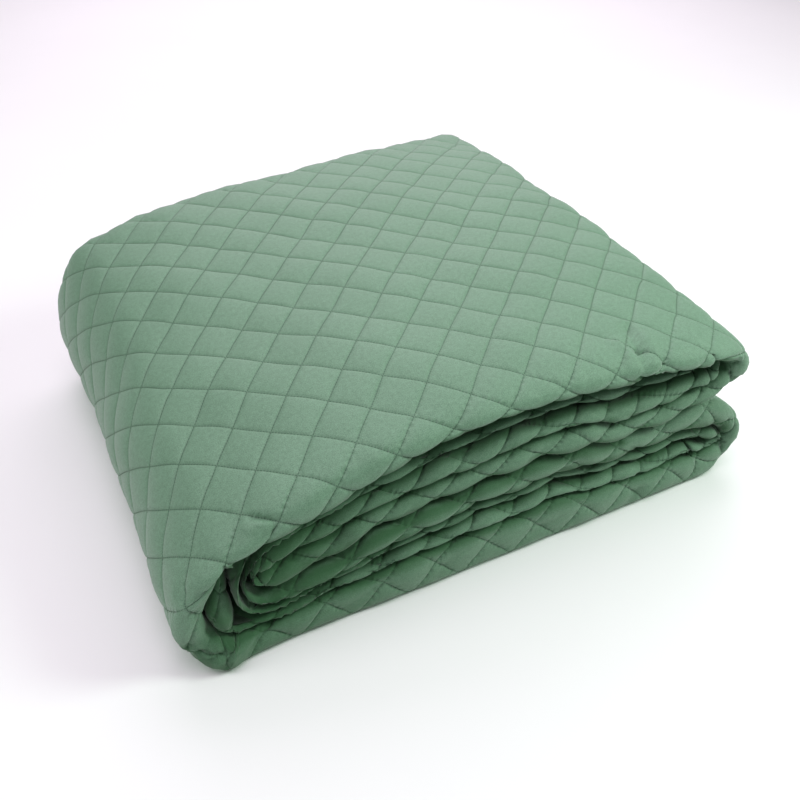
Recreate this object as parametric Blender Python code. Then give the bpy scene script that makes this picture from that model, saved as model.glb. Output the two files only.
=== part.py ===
"""Quilted bedspread, folded for the shelf.

A square-cut quilt of 1.8 x 2.7 m lies folded in four across its width and in five along its length, so that
the stack is one long strip of four sheets that runs back and forth.  Each crossing of the strip shows two
rounded bands on the front, with a groove between them, and one larger nose at the back.  The strip starts
with a free end under the cover (the flap), turns up at the right and over the top (the cover), wraps round
the whole left side, runs along the floor (the base), turns back at the lower right (the return) and turns up
round the flap's free end to lie on it (the tongue).

Metres, +Z up, +X to the right along the front, +Y towards the back.  The origin is the middle of the
underside.
"""

import math

import bmesh
import bpy
from mathutils import Vector

# Driving sizes -------------------------------------------------------------------------------------------
DIAMOND = 0.051  # diagonal of one quilted diamond
HALF = DIAMOND / 2  # stitch crossings and the middles of diamonds take turns at this step
DEPTH = 0.500  # of the folded stack, before its back runs askew
RISE = 0.0024  # how far the middle of a diamond stands above its stitches
MOST_DIP = 0.2  # the largest share of the cloth's thickness that a stitch dips
LAYER_GAP = 0.004  # between neighbouring crossings
NOSE = 0.012  # depth of the rounding of a band
BACK_NOSE = 0.018  # the same at the back
EVEN_DEPTH = 0.11  # this far in, the uneven layers of the front have become even
CROSSING_X = 0.306  # a stitch crossing of the cover lies at this x, which the tables count from the left
FIRST_ROW = 0.003  # and this far in from the front
TIP = 0.0015  # half the thickness of a free end at its very tip
FLOOR_LIFT = 0.0005  # a face lower than this lies on the floor, pressed flat
FABRIC_COLOUR = (0.155, 0.285, 0.205, 1.0)

# Height of the cover over the floor: a row for each depth, a column for each place along the front.
HEIGHT_X = (0.020, 0.070, 0.125, 0.185, 0.245, 0.306, 0.367, 0.428, 0.490, 0.530)
HEIGHTS = (
    ("depth", "height at each x"),
    (0.000, (0.083, 0.106, 0.132, 0.150, 0.160, 0.165, 0.166, 0.163, 0.157, 0.152)),
    (0.050, (0.094, 0.117, 0.142, 0.158, 0.169, 0.174, 0.175, 0.174, 0.170, 0.166)),
    (0.125, (0.105, 0.126, 0.149, 0.164, 0.174, 0.179, 0.181, 0.182, 0.180, 0.178)),
    (0.250, (0.118, 0.138, 0.158, 0.171, 0.179, 0.184, 0.186, 0.187, 0.187, 0.185)),
    (0.370, (0.130, 0.150, 0.168, 0.179, 0.186, 0.189, 0.190, 0.189, 0.187, 0.183)),
    (0.500, (0.138, 0.158, 0.175, 0.184, 0.188, 0.188, 0.186, 0.182, 0.177, 0.172)),
)[1:]

# How far back the stack reaches at each x: the turns at the back run askew.
BACK_X = (0.100, 0.190, 0.280, 0.330, 0.380, 0.435, 0.488, 0.530)
BACKS = (0.459, 0.462, 0.468, 0.475, 0.486, 0.500, 0.516, 0.532)

# Where one crossing ends and the next begins at the front, as shares of the cover's height.
LEVELS = (
    ("x", "under_cover", "under_tongue", "under_flap", "under_return"),
    (0.070, 0.880, 0.700, 0.450, 0.290),
    (0.120, 0.868, 0.713, 0.425, 0.262),
    (0.160, 0.874, 0.725, 0.448, 0.287),
    (0.200, 0.900, 0.725, 0.505, 0.294),
    (0.240, 0.900, 0.731, 0.500, 0.310),
    (0.280, 0.918, 0.740, 0.518, 0.317),
    (0.320, 0.920, 0.762, 0.536, 0.313),
    (0.360, 0.920, 0.776, 0.546, 0.325),
    (0.400, 0.910, 0.748, 0.533, 0.285),
    (0.440, 0.907, 0.735, 0.520, 0.265),
    (0.480, 0.925, 0.780, 0.545, 0.266),
    (0.520, 0.915, 0.800, 0.625, 0.268),
)
EVEN_LEVELS = {"under_cover": 0.810, "under_tongue": 0.612, "under_flap": 0.418, "under_return": 0.214}

# The crossings of the strip, each with its own two bands: where its outer and inner faces lie, the share
# of its thickness that the outer band has, and how far each band lies back from the front.
CROSSINGS = {
    "name": ("outer_face", "inner_face", "outer_share", "outer_back", "inner_back"),
    "flap": ("under_flap", "under_tongue", 0.60, 0.003, 0.005),
    "cover": ("top", "under_cover", 0.82, 0.000, 0.018),
    "base": ("floor", "under_return", 0.78, 0.001, 0.004),
    "return": ("under_flap", "under_return", 0.66, 0.002, 0.008),
    "tongue": ("under_tongue", "under_cover", 0.26, 0.022, 0.012),
}

# The strip from end to end.  A run lies along a crossing, a fold turns from one crossing to the next, and
# an end closes the strip.  Reaches say how far the outer and the inner face go past x at the front, side is
# the row of DRAWS that moves them further in, and the powers say how square the outer face of a fold starts
# and ends, where 1 is round and less is squarer.
STRIP = (
    ("kind", "crossings", "x", "outer_reach", "inner_reach", "side", "start_power", "end_power"),
    ("start", ("flap",), 0.093, -0.017, -0.017, "left", None, None),
    ("run", ("flap",), None, None, None, None, None, None),
    ("fold", ("flap", "cover"), 0.510, 0.055, 0.020, "upper", 1.2, 0.6),
    ("run", ("cover",), None, None, None, None, None, None),
    ("fold", ("cover", "base"), 0.070, -0.050, -0.022, "left", 1.0, 1.0),
    ("run", ("base",), None, None, None, None, None, None),
    ("fold", ("base", "return"), 0.520, 0.058, 0.032, "lower", 0.45, 1.7),
    ("run", ("return",), None, None, None, None, None, None),
    ("fold", ("return", "tongue"), 0.086, -0.020, -0.033, "left", 1.0, 1.0),
    ("run", ("tongue",), None, None, None, None, None, None),
    ("end", ("tongue",), 0.494, 0.015, 0.015, "upper", None, None),
)[1:]
# How far each side moves to the right, at each depth.
DRAWS = {
    "left": (
        (0.00, 0.03, 0.06, 0.125, 0.25, 0.36, 0.42, 0.50),
        (0.0, 0.0025, 0.004, 0.009, 0.009, 0.011, 0.012, 0.016),
    ),
    "upper": ((0.00, 0.04, 0.10, 0.20, 0.35, 0.50), (0.0, -0.002, -0.006, -0.007, -0.001, 0.012)),
    "lower": ((0.00, 0.05, 0.20, 0.50), (0.0, -0.003, -0.006, -0.003)),
}
SWAY_PHASES = {"left": 1.2, "upper": 3.7, "lower": 5.1}
BLUNT = 0.5  # the outer band is this much squarer along the floor
SWAY = 0.0022  # slow waves in the strip's front and sides
SAMPLES = 60  # steps in which each stretch of the strip is measured

OUTER_NOSE = (0, 40, 75, 110, 145, 180)  # degrees round a band, from its outer face to the groove
INNER_NOSE = (35, 75, 110, 145)
BACK_TURN = (0, 40, 90, 140, 180)
ROWS = 16  # rows of the outer face that keep step with the diamonds
BACK_ROWS = 3  # and those spread over what is left of it at the back
LEAST_ROW = 0.003  # the first row lies at least this far behind the rounding of its band
INNER_ROWS = 6  # the inner face is hidden, so it has few rows
CLOSING = (0.0, 0.25, 0.6, 1.02)  # the turns of the mesh where an end closes
CLEAR_OF_END = 1.06  # no other turn lies nearer to an end


def smooth(t):
    t = min(1.0, max(0.0, t))
    return t * t * (3 - 2 * t)


def curve_through(xs, values, x):
    """A smooth curve through the points (xs, values), level past its ends."""
    x = min(xs[-1], max(xs[0], x))
    k = max(i for i in range(len(xs) - 1) if xs[i] <= x)
    span = xs[k + 1] - xs[k]
    t = (x - xs[k]) / span

    def slope(i):
        a, b = max(0, i - 1), min(len(xs) - 1, i + 1)
        return (values[b] - values[a]) / (xs[b] - xs[a])

    return (
        (2 * t**3 - 3 * t**2 + 1) * values[k]
        + (t**3 - 2 * t**2 + t) * span * slope(k)
        + (3 * t**2 - 2 * t**3) * values[k + 1]
        + (t**3 - t**2) * span * slope(k + 1)
    )


def cover_height(x, depth):
    across = [curve_through(HEIGHT_X, heights, x) for _, heights in HEIGHTS]
    return curve_through([row[0] for row in HEIGHTS], across, depth)


def level(name, x, depth):
    """The height of the middle of the gap called name."""
    if name == "floor":
        return 0.0
    share = 1.0
    if name != "top":
        column = LEVELS[0].index(name)
        rows = LEVELS[1:]
        share = curve_through([row[0] for row in rows], [row[column] for row in rows], x)
        share += (EVEN_LEVELS[name] - share) * smooth(depth / EVEN_DEPTH)
    return share * cover_height(x, depth)


def faces_of(crossing, x, depth):
    """Heights of the outer and the inner face of a crossing, clear of its neighbours."""
    outer_name, inner_name = CROSSINGS[crossing][:2]
    outer, inner = level(outer_name, x, depth), level(inner_name, x, depth)
    inward = math.copysign(LAYER_GAP / 2, inner - outer)
    if outer_name not in ("top", "floor"):
        outer += inward
    return outer, inner - inward


def fold_x(index, depth):
    """Where along x a fold or an end has its x, at a depth."""
    side = STRIP[index][5]
    sway = SWAY * math.sin(23 * depth + SWAY_PHASES[side])
    return STRIP[index][2] + curve_through(*DRAWS[side], depth) + sway


def section_at(progress, depth):
    """The outer and inner points of the strip's section, ((x, z), (x, z)), at a place along the strip."""
    index = min(len(STRIP) - 1, int(progress))
    t = progress - index
    kind, crossings, _, outer_reach, inner_reach, _, start_power, end_power = STRIP[index]
    if kind == "run":
        x = fold_x(index - 1, depth) * (1 - t) + fold_x(index + 1, depth) * t
        outer, inner = faces_of(crossings[0], x, depth)
        return (x, outer), (x, inner)
    x = fold_x(index, depth)
    if kind == "fold":
        turn = (1 - math.cos(math.pi * t)) / 2
        out = max(0.0, math.sin(math.pi * t))
        outer_x = x + outer_reach * out ** (start_power + (end_power - start_power) * turn)
        inner_x = x + inner_reach * out
        outer, outer_after = (faces_of(name, outer_x, depth)[0] for name in crossings)
        inner, inner_after = (faces_of(name, inner_x, depth)[1] for name in crossings)
        return (
            (outer_x, outer + (outer_after - outer) * turn),
            (inner_x, inner + (inner_after - inner) * turn),
        )
    outer, inner = faces_of(crossings[0], x, depth)
    closing = t if kind == "start" else 1 - t
    thick = TIP / abs(outer - inner) + (0.5 - TIP / abs(outer - inner)) * math.sin(math.pi / 2 * closing)
    middle = (outer + inner) / 2
    x += outer_reach * math.cos(math.pi / 2 * closing)
    return (x, middle + (outer - inner) * thick), (x, middle - (outer - inner) * thick)


def bands_at(progress):
    """(outer_share, outer_back, inner_back) at a place along the strip."""
    index = min(len(STRIP) - 1, int(progress))
    crossings = STRIP[index][1]
    before, after = CROSSINGS[crossings[0]][2:], CROSSINGS[crossings[-1]][2:]
    t = smooth(progress - index)
    return [a + (b - a) * t for a, b in zip(before, after)]


def measure_strip():
    """Length along the outer face, halfway in, for each of a row of places along the strip."""
    places = [i / SAMPLES for i in range(len(STRIP) * SAMPLES + 1)]
    lengths = [0.0]
    last = section_at(places[0], DEPTH / 2)[0]
    for place in places[1:]:
        here = section_at(place, DEPTH / 2)[0]
        lengths.append(lengths[-1] + math.dist(last, here))
        last = here
    return places, lengths


def between(xs, ys, x):
    """The straight-line value of y at x."""
    k = max(i for i in range(len(xs) - 1) if xs[i] <= x)
    return ys[k] + (ys[k + 1] - ys[k]) * (x - xs[k]) / (xs[k + 1] - xs[k])


def lay_stations():
    """Places along the strip with their length from a stitch crossing: every half diamond, every quarter in
    the folds, and some more where an end closes."""
    places, lengths = measure_strip()
    cover = [row[1] for row in STRIP].index(("cover",))
    start, end = fold_x(cover - 1, DEPTH / 2), fold_x(cover + 1, DEPTH / 2)
    zero = between(places, lengths, cover + (CROSSING_X - start) / (end - start))
    steps = int(lengths[-1] / (HALF / 2)) + 2
    first = math.ceil(-zero / (HALF / 2))
    stations = []
    for step in range(first, first + steps):
        length = zero + step * HALF / 2
        if not lengths[0] < length < lengths[-1]:
            continue
        place = between(lengths, places, length)
        kind = STRIP[int(place)][0]
        if kind in ("start", "end"):
            continue
        if kind == "fold" or step % 2 == 0:
            stations.append((place, length - zero))
    last = len(STRIP)
    opening = [(t, between(places, lengths, t) - zero) for t in CLOSING]
    closing = [(last - t, between(places, lengths, last - t) - zero) for t in CLOSING[::-1]]
    stations = [s for s in stations if CLEAR_OF_END < s[0] < last - CLEAR_OF_END]
    return opening + stations + closing


def ring_at(place):
    """One turn round the strip's section: (point, length across from the first row of stitches, thickness)."""
    outer_share, outer_back, inner_back = bands_at(place)
    ring = []

    def add(share, depth, across, band=1.0):
        (outer_x, outer_z), (inner_x, inner_z) = section_at(place, depth)
        x = outer_x + (inner_x - outer_x) * share
        z = outer_z + (inner_z - outer_z) * share
        thickness = math.hypot(outer_x - inner_x, outer_z - inner_z)
        ring.append(((x, depth, z), across, thickness * band * grooved))

    thickness = math.dist(*section_at(place, NOSE))
    wave = SWAY * math.sin(2.1 * place) + SWAY / 2 * math.sin(5.3 * place + 1.0)
    outer_front, inner_front = outer_back + wave, inner_back + wave
    # the groove between the two bands runs out towards the strip's free ends, and so does the quilting
    grooved = smooth(place / CLOSING[-1]) * smooth((len(STRIP) - place) / CLOSING[-1])
    inner_front = outer_front + (inner_front - outer_front) * grooved

    def add_nose(share, front, bulge, across, band):
        single = outer_front + NOSE * (1 - math.sin(math.pi * share))
        add(share, single + (front + NOSE * (1 - bulge) - single) * grooved, across, band)

    back = curve_through(BACK_X, BACKS, section_at(place, NOSE)[0][0]) - BACK_NOSE - wave
    last_row = FIRST_ROW + HALF * ROWS
    for row in range(BACK_ROWS, 0, -1):
        depth = last_row + (back - last_row) * row / (BACK_ROWS + 1)
        add(0.0, depth, depth - FIRST_ROW)
    for row in range(ROWS, 0, -1):
        band = outer_share if row == 1 else 1.0
        add(0.0, max(FIRST_ROW + HALF * row, outer_front + NOSE + LEAST_ROW), HALF * row, band)
    on_floor = smooth((place - 4.5) / 0.5) * smooth((6.6 - place) / 0.6)
    for degrees in OUTER_NOSE:
        angle = math.radians(degrees)
        share = outer_share * (1 - math.cos(angle)) / 2
        front = max(outer_front, inner_front) if degrees == OUTER_NOSE[-1] else outer_front
        across = -math.radians(degrees - OUTER_NOSE[1]) * thickness * outer_share / 2
        add_nose(share, front, abs(math.sin(angle)) ** (1 - BLUNT * on_floor), across, outer_share)
    for degrees in INNER_NOSE:
        angle = math.radians(degrees)
        share = outer_share + (1 - outer_share) * (1 - math.cos(angle)) / 2
        across = math.radians(degrees - INNER_NOSE[-1]) * thickness * (1 - outer_share) / 2
        add_nose(share, inner_front, math.sin(angle), across, 1 - outer_share)
    front = inner_front
    for row in range(INNER_ROWS):
        depth = front + NOSE + (back - NOSE - front) * row / INNER_ROWS
        add(1.0, depth, depth - FIRST_ROW, 1 - outer_share if row == 0 else 1.0)
    for degrees in BACK_TURN[::-1]:
        angle = math.radians(degrees)
        depth = back + BACK_NOSE * math.sin(angle)
        add((1 - math.cos(angle)) / 2, depth, depth - FIRST_ROW)
    return ring


def relief(along, across, thickness):
    """How deep the cloth dips here: nothing in the middle of a diamond, RISE on its stitches, and less where
    the cloth is thin."""
    a = abs(math.sin(math.pi * (along + across) / DIAMOND))
    b = abs(math.sin(math.pi * (along - across) / DIAMOND))
    return min(RISE, thickness * MOST_DIP) * (1 - math.sqrt(a * b))


def close_ring(shape, ring):
    """Closes a free end with a strip of triangles between its two sides, from the front to the back."""
    order = sorted(range(len(ring)), key=lambda j: ring[j].co.y)
    front, back = order[0], order[-1]
    count = len(ring)
    one = [ring[(front + k) % count] for k in range((back - front) % count + 1)]
    other = [ring[(front - k) % count] for k in range((front - back) % count + 1)]
    i = j = 0
    while i + j < len(one) + len(other) - 3:
        take_one = j == len(other) - 1 or (i < len(one) - 1 and one[i + 1].co.y < other[j + 1].co.y)
        after = one[i + 1] if take_one else other[j + 1]
        if len({one[i], other[j], after}) == 3:
            shape.faces.new((one[i], other[j], after))
        i, j = (i + 1, j) if take_one else (i, j + 1)


def quilt_mesh():
    rings = []
    for place, along in lay_stations():
        rings.append([(point, relief(along, *flat)) for point, *flat in ring_at(place)])
    shape = bmesh.new()
    dip = shape.verts.layers.float.new("dip")
    verts = []
    for ring in rings:
        verts.append([])
        for point, depth in ring:
            vert = shape.verts.new(point)
            vert[dip] = 0.0 if point[2] < FLOOR_LIFT else depth
            verts[-1].append(vert)
    for ring, after in zip(verts, verts[1:]):
        for j in range(len(ring)):
            k = (j + 1) % len(ring)
            corners = (ring[j], ring[k], after[k], after[j])
            # a crease runs along the stitches: the pair of corners that dips further is joined
            if corners[0][dip] + corners[2][dip] < corners[1][dip] + corners[3][dip]:
                corners = corners[1:] + corners[:1]
            shape.faces.new((corners[0], corners[1], corners[2]))
            shape.faces.new((corners[0], corners[2], corners[3]))
    close_ring(shape, verts[0])
    close_ring(shape, verts[-1])
    bmesh.ops.recalc_face_normals(shape, faces=shape.faces)
    shape.normal_update()
    for vert in shape.verts:
        vert.co -= vert.normal * vert[dip]
    lows = [min(vert.co[axis] for vert in shape.verts) for axis in range(3)]
    highs = [max(vert.co[axis] for vert in shape.verts) for axis in range(3)]
    middle = Vector([(lows[0] + highs[0]) / 2, (lows[1] + highs[1]) / 2, lows[2]])
    for vert in shape.verts:
        vert.co -= middle
    mesh = bpy.data.meshes.new("bedspread")
    shape.to_mesh(mesh)
    shape.free()
    mesh.shade_smooth()
    return mesh


def fabric():
    material = bpy.data.materials.new("fabric")
    material.use_nodes = True
    shader = material.node_tree.nodes["Principled BSDF"]
    shader.inputs["Base Color"].default_value = FABRIC_COLOUR
    shader.inputs["Roughness"].default_value = 0.9
    shader.inputs["Metallic"].default_value = 0.0
    return material


def main():
    for old in list(bpy.data.objects):
        bpy.data.objects.remove(old)
    mesh = quilt_mesh()
    mesh.materials.append(fabric())
    bedspread = bpy.data.objects.new("bedspread", mesh)
    bpy.context.scene.collection.objects.link(bedspread)


main()
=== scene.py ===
"""Quilted bedspread, folded for the shelf: the dressed model.

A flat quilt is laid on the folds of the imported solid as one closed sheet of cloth, with its puffed
diamonds, the stitches that hold them, and the creases of its folds.
"""

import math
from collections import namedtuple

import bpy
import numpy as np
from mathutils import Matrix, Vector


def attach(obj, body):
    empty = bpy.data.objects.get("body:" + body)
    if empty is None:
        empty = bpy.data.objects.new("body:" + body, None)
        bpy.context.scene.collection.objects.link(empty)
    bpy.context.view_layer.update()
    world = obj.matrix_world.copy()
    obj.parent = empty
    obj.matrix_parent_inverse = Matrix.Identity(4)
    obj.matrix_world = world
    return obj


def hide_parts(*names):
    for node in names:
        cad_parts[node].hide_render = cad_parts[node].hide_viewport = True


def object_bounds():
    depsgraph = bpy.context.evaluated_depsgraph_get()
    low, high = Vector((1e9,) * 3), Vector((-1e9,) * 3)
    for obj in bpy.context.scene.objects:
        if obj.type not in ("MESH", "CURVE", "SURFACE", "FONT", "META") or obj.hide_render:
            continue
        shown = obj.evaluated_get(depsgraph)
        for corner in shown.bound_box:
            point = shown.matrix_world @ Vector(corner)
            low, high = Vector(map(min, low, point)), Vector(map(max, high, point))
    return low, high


bl_info = {
    "name": "Folded Quilted Bedspread",
    "version": (1, 0, 0),
    "blender": (4, 5, 0),
    "location": "3D View > Sidebar > Bedspread",
    "description": "Sews a diamond-quilted bedspread and folds it into a soft stack",
    "category": "Add Mesh",
}

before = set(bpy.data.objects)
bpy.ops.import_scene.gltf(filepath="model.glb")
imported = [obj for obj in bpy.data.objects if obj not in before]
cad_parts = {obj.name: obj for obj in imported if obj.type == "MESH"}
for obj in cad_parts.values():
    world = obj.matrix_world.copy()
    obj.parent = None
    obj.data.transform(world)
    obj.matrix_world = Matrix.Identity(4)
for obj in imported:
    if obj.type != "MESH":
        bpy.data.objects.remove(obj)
CAD_BOX = [list(map(float, corner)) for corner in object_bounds()]

# ---------- The fold.  The tables count x from the left and depth from the front, in metres. ----------

DIAMOND = 0.051  # diagonal of one quilted diamond
HALF = DIAMOND / 2
DEPTH = 0.500
ORIGIN_X = 0.3003  # the part's own origin, in the x of the tables
ORIGIN_DEPTH = 0.2659
LAYER_GAP = 0.0012  # between the puffs of neighbouring crossings
SHEET_GAP = 0.0012  # between the sheets of one crossing
NOSE = 0.012  # depth of the rounding of a band
LIP_ROLL = 0.020  # and of the upper half of the cover's lip, which rolls over softly
LIP_DROOP = 0.011  # how far the underside of the lip hangs down
LIP_DEPTH = 0.012
SLACK_PLACE, SLACK_REACH, SLACK = 3.82, 0.15, 0.8  # where along the strip it hangs lower, and how much
BACK_NOSE = 0.018
EVEN_DEPTH = 0.11  # this far in, the uneven layers of the front have become even
CROSSING_X = 0.306  # a stitch crossing of the cover lies at this x
FIRST_ROW = 0.003  # and this far in from the front
TIP = 0.0015  # half the thickness of a free end at its very tip

HEIGHT_X = (0.020, 0.070, 0.125, 0.185, 0.245, 0.306, 0.367, 0.428, 0.490, 0.530)
HEIGHTS = (
    # depth, height of the cover at each x
    (0.000, (0.083, 0.106, 0.132, 0.150, 0.160, 0.165, 0.166, 0.163, 0.157, 0.152)),
    (0.050, (0.094, 0.117, 0.142, 0.158, 0.169, 0.174, 0.175, 0.174, 0.170, 0.166)),
    (0.125, (0.105, 0.126, 0.149, 0.164, 0.174, 0.179, 0.181, 0.182, 0.180, 0.178)),
    (0.250, (0.118, 0.138, 0.158, 0.171, 0.179, 0.184, 0.186, 0.187, 0.187, 0.185)),
    (0.370, (0.130, 0.150, 0.168, 0.179, 0.186, 0.189, 0.190, 0.189, 0.187, 0.183)),
    (0.500, (0.138, 0.158, 0.175, 0.184, 0.188, 0.188, 0.186, 0.182, 0.177, 0.172)),
)

# How far back the stack reaches, at each x: the turns at the back run askew.
BACK_X = (0.100, 0.190, 0.280, 0.330, 0.380, 0.435, 0.488, 0.530)
BACKS = (0.459, 0.462, 0.468, 0.475, 0.486, 0.500, 0.516, 0.532)

# How far each side moves to the right, at each depth.
Draw = namedtuple("Draw", "depths moves phase")
DRAWS = {
    "left": Draw(
        (0.00, 0.03, 0.06, 0.125, 0.25, 0.36, 0.42, 0.50),
        (0.0, 0.0025, 0.004, 0.009, 0.009, 0.011, 0.012, 0.016), 1.2),
    "upper": Draw(
        (0.00, 0.04, 0.10, 0.20, 0.35, 0.50), (0.0, -0.002, -0.006, -0.007, -0.001, 0.012), 3.7),
    "lower": Draw((0.00, 0.05, 0.20, 0.50), (0.0, -0.003, -0.006, -0.003), 5.1),
}

LEVEL_NAMES = ("under_cover", "under_tongue", "under_flap", "under_return")
LEVELS = (
    # x, then each level at the front as a share of the cover's height
    (0.070, 0.880, 0.700, 0.450, 0.290),
    (0.120, 0.868, 0.713, 0.425, 0.262),
    (0.160, 0.874, 0.725, 0.448, 0.287),
    (0.200, 0.900, 0.725, 0.505, 0.294),
    (0.240, 0.900, 0.731, 0.500, 0.310),
    (0.280, 0.918, 0.740, 0.518, 0.317),
    (0.320, 0.920, 0.762, 0.536, 0.313),
    (0.360, 0.920, 0.776, 0.546, 0.325),
    (0.400, 0.910, 0.748, 0.533, 0.285),
    (0.440, 0.907, 0.735, 0.520, 0.265),
    (0.480, 0.925, 0.780, 0.545, 0.266),
    (0.520, 0.915, 0.800, 0.625, 0.268),
)
EVEN_LEVELS = (0.810, 0.612, 0.418, 0.214)
# Each level runs unevenly along the front: size, waves and phase.
LEVEL_WAVES = ((0.004, 113.0, 0.6), (0.009, 97.0, 2.2), (0.009, 121.0, 4.4), (0.010, 88.0, 1.1))

Crossing = namedtuple("Crossing", "outer_face inner_face outer_share outer_back inner_back")
CROSSINGS = {
    "flap": Crossing("under_flap", "under_tongue", 0.60, 0.003, 0.005),
    "cover": Crossing("top", "under_cover", 0.84, 0.000, 0.026),
    "base": Crossing("floor", "under_return", 0.78, 0.001, 0.004),
    "return": Crossing("under_flap", "under_return", 0.66, 0.002, 0.008),
    "tongue": Crossing("under_tongue", "under_cover", 0.38, 0.012, 0.016),
}

# Reaches say how far the outer and the inner face go past x at the front.  The powers say how square
# the outer face of a fold starts and ends, where 1 is round and less is squarer.
Stretch = namedtuple("Stretch", "kind crossings x outer_reach inner_reach side start_power end_power")


def run(crossing):
    return Stretch("run", (crossing,), 0, 0, 0, None, 1, 1)


STRIP = (
    Stretch("start", ("flap",), 0.105, -0.019, -0.019, "left", 1, 1),
    run("flap"),
    Stretch("fold", ("flap", "cover"), 0.510, 0.055, 0.020, "upper", 1.2, 0.6),
    run("cover"),
    Stretch("fold", ("cover", "base"), 0.070, -0.050, -0.001, "left", 1, 1),
    run("base"),
    Stretch("fold", ("base", "return"), 0.520, 0.058, 0.032, "lower", 0.45, 1.7),
    run("return"),
    Stretch("fold", ("return", "tongue"), 0.102, -0.020, -0.033, "left", 1, 1),
    run("tongue"),
    Stretch("end", ("tongue",), 0.496, 0.015, 0.015, "upper", 1, 1),
)
FIRST_EXACT, LAST_EXACT = 2.0, 6.0  # between these places the diamonds keep their true length
COVER_RUN = 3  # the place where the cover's run starts
SWAY = 0.0022  # how far the sides and the fronts wander
SIDE_WAVES = 23.0  # radians a metre

# Places along the strip where its front leaves the rest: how far the outer and the inner band come
# forward there, and how much of the outer band's share goes to the inner one.
Bulge = namedtuple("Bulge", "place reach outer inner share")
BULGES = (
    Bulge(4.89, 0.13, 0.012, 0.000, 0.00),
    Bulge(4.60, 0.26, 0.000, 0.008, 0.27),
    Bulge(8.45, 0.35, 0.000, 0.010, 0.00),
)

# Where the strip is the cover's lip and where it lies on the floor: the first and the last place, and
# over how much of a stretch each of them fades.
ON_COVER = (2.4, 4.38, 0.6, 0.6)
ON_FLOOR = (4.5, 6.6, 0.5, 0.6)
FLAT_ON_FLOOR = (4.6, 6.6, 0.4, 0.4)
FLOOR_BLUNTING = 0.5  # how much squarer the nose is there

# The flat cloth, in half diamonds from the crossing at CROSSING_X: along the strip, and across it.
ALONG = (-31, 75)
ACROSS = (-17, 55)


def smooth(t):
    t = np.clip(t, 0.0, 1.0)
    return t * t * (3 - 2 * t)


def between(place, start, end, rise, fall):
    return smooth((place - start) / rise) * smooth((end - place) / fall)


def bell(distance, reach):
    return np.exp(-(distance / reach) ** 2)


def unit(vectors):
    return vectors / np.maximum(np.linalg.norm(vectors, axis=-1, keepdims=True), 1e-9)


def curve_through(xs, values, x):
    """A smooth curve through (xs, values), level past its ends.  values may hold a row for each of xs,
    with one value for each x."""
    xs, values = np.asarray(xs, float), np.asarray(values, float)
    x = np.clip(x, xs[0], xs[-1])
    last = len(xs) - 1
    k = np.clip(np.searchsorted(xs, x, side="right") - 1, 0, last - 1)
    before = np.maximum(np.arange(last + 1) - 1, 0)
    after = np.minimum(np.arange(last + 1) + 1, last)
    spread = (xs[after] - xs[before]).reshape((-1,) + (1,) * (values.ndim - 1))
    slopes = (values[after] - values[before]) / spread

    def pick(table, index):
        return table[index] if table.ndim == 1 else table[index, np.arange(len(index))]

    span = xs[k + 1] - xs[k]
    t = (x - xs[k]) / span
    return (
        (2 * t**3 - 3 * t**2 + 1) * pick(values, k)
        + (t**3 - 2 * t**2 + t) * span * pick(slopes, k)
        + (3 * t**2 - 2 * t**3) * pick(values, k + 1)
        + (t**3 - t**2) * span * pick(slopes, k + 1)
    )


def cover_height(x, depth):
    across = np.array([curve_through(HEIGHT_X, heights, x) for _, heights in HEIGHTS])
    return curve_through([row[0] for row in HEIGHTS], across, depth)


def level(name, x, depth, height):
    """The height of the middle of the gap called name, under a cover of the given height."""
    if name == "floor":
        return 0 * height
    if name == "top":
        return height
    column = LEVEL_NAMES.index(name)
    share = curve_through([row[0] for row in LEVELS], [row[column + 1] for row in LEVELS], x)
    size, waves, phase = LEVEL_WAVES[column]
    share = share + size * np.sin(waves * x + phase)
    share = share + (EVEN_LEVELS[column] - share) * smooth(depth / EVEN_DEPTH)
    return share * height


def faces_of(name, x, depth):
    crossing = CROSSINGS[name]
    height = cover_height(x, depth)
    outer = level(crossing.outer_face, x, depth, height)
    inner = level(crossing.inner_face, x, depth, height)
    inward = np.sign(inner - outer) * LAYER_GAP / 2
    if crossing.outer_face not in ("top", "floor"):
        outer = outer + inward
    return outer, inner - inward


def fold_x(index, depth):
    """Where along x a fold or an end has its x, at a depth."""
    depths, moves, phase = DRAWS[STRIP[index].side]
    drawn = STRIP[index].x + curve_through(depths, moves, depth)
    return drawn + SWAY * np.sin(SIDE_WAVES * depth + phase)


def stretch_section(index, t, depth):
    """Outer x, outer z, inner x, inner z on one stretch of the strip."""
    kind, crossings, _, outer_reach, inner_reach, _, start_power, end_power = STRIP[index]
    if kind == "run":
        x = fold_x(index - 1, depth) * (1 - t) + fold_x(index + 1, depth) * t
        outer, inner = faces_of(crossings[0], x, depth)
        return x, outer, x, inner
    x = fold_x(index, depth)
    if kind == "fold":
        turn = (1 - np.cos(np.pi * t)) / 2
        out = np.maximum(np.sin(np.pi * t), 0.0)
        outer_x = x + outer_reach * out ** (start_power + (end_power - start_power) * turn)
        inner_x = x + inner_reach * out
        outer, outer_after = (faces_of(name, outer_x, depth)[0] for name in crossings)
        inner, inner_after = (faces_of(name, inner_x, depth)[1] for name in crossings)
        return (outer_x, outer + (outer_after - outer) * turn,
                inner_x, inner + (inner_after - inner) * turn)
    outer, inner = faces_of(crossings[0], x, depth)
    closing = t if kind == "start" else 1 - t
    least = TIP / np.abs(outer - inner)
    thick = least + (0.5 - least) * np.sin(np.pi / 2 * closing)
    middle = (outer + inner) / 2
    x = x + outer_reach * np.cos(np.pi / 2 * closing)
    return x, middle + (outer - inner) * thick, x, middle - (outer - inner) * thick


def stretch_of(place):
    return np.clip(place.astype(int), 0, len(STRIP) - 1)


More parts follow.
